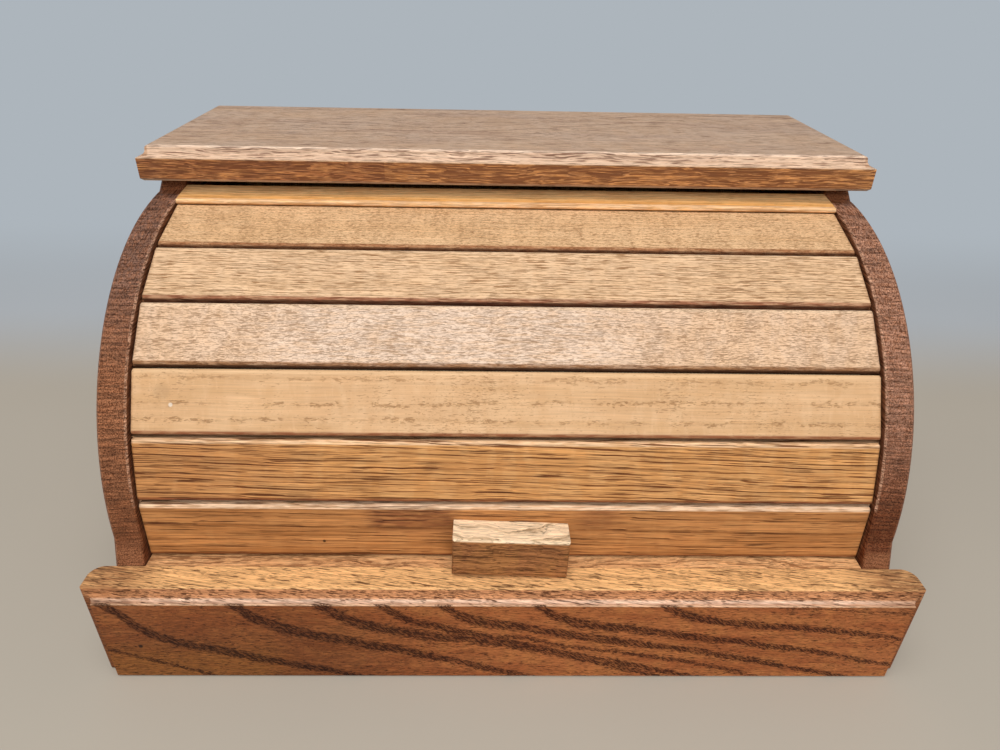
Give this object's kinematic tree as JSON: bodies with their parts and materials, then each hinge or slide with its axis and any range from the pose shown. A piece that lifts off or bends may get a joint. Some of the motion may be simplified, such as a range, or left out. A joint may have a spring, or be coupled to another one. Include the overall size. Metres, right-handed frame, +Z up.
{
  "type": "roll-top bread box with drawer",
  "caption": "Oak bread box: a roll-up slatted tambour between curved side panels, a moulded top board and a shallow drawer under the floor.",
  "frame": {"origin": "on the table under the middle of the whole outline", "axes": "+X to the viewer's right along the box's length, +Y from the drawer front to the back, +Z up"},
  "size_m": [0.43, 0.2776, 0.2444],
  "materials": {
    "side_oak": "dark walnut-stained oak, satin varnish, worn arrises",
    "top_oak": "mid-brown stained oak, satin varnish",
    "slat_oak": "golden oak, satin varnish",
    "handle_oak": "oak, satin varnish, worn pale on top",
    "floor_oak": "golden oak, satin varnish",
    "front_oak": "reddish-brown stained oak, satin varnish",
    "inner_wood": "bare planed wood",
    "plywood": "bare sanded plywood",
    "dowel_wood": "bare beech",
    "canvas": "unbleached cotton duck, glued",
    "screw_steel": "plain steel, dulled"
  },
  "bodies": {
    "cabinet": {"side_panel_left": "side_oak", "side_panel_right": "side_oak", "top_board": "top_oak", "header_rail": "slat_oak", "floor_board": "floor_oak", "back_panel": "plywood", "drawer_rail_front": "inner_wood", "drawer_rail_back": "inner_wood", "drawer_runner_left": "inner_wood", "drawer_runner_right": "inner_wood", "top_dowels": "dowel_wood", "runner_screws": "screw_steel", "back_nails": "screw_steel"},
    "tambour": {"tambour_slat_1": "slat_oak", "tambour_slat_2": "slat_oak", "tambour_slat_3": "slat_oak", "tambour_slat_4": "slat_oak", "tambour_slat_5": "slat_oak", "tambour_slat_6": "slat_oak", "tambour_canvas": "canvas", "tambour_handle": "handle_oak", "handle_screws": "screw_steel"},
    "drawer": {"drawer_front": "front_oak", "drawer_box_front": "inner_wood", "drawer_side_left": "inner_wood", "drawer_side_right": "inner_wood", "drawer_back": "inner_wood", "drawer_bottom": "plywood", "drawer_front_screws": "screw_steel", "drawer_nails": "screw_steel"}
  },
  "joints": [
    {"name": "tambour_roll", "type": "hinge", "parent": "cabinet", "child": "tambour", "pos_m": [0, 0.0349, 0.0692], "axis": [-1, 0, 0], "range_deg": [0, 49.5]},
    {"name": "drawer_slide", "type": "slide", "parent": "cabinet", "child": "drawer", "axis": [0, -1, 0], "range_m": [0, 0.18]}
  ]
}
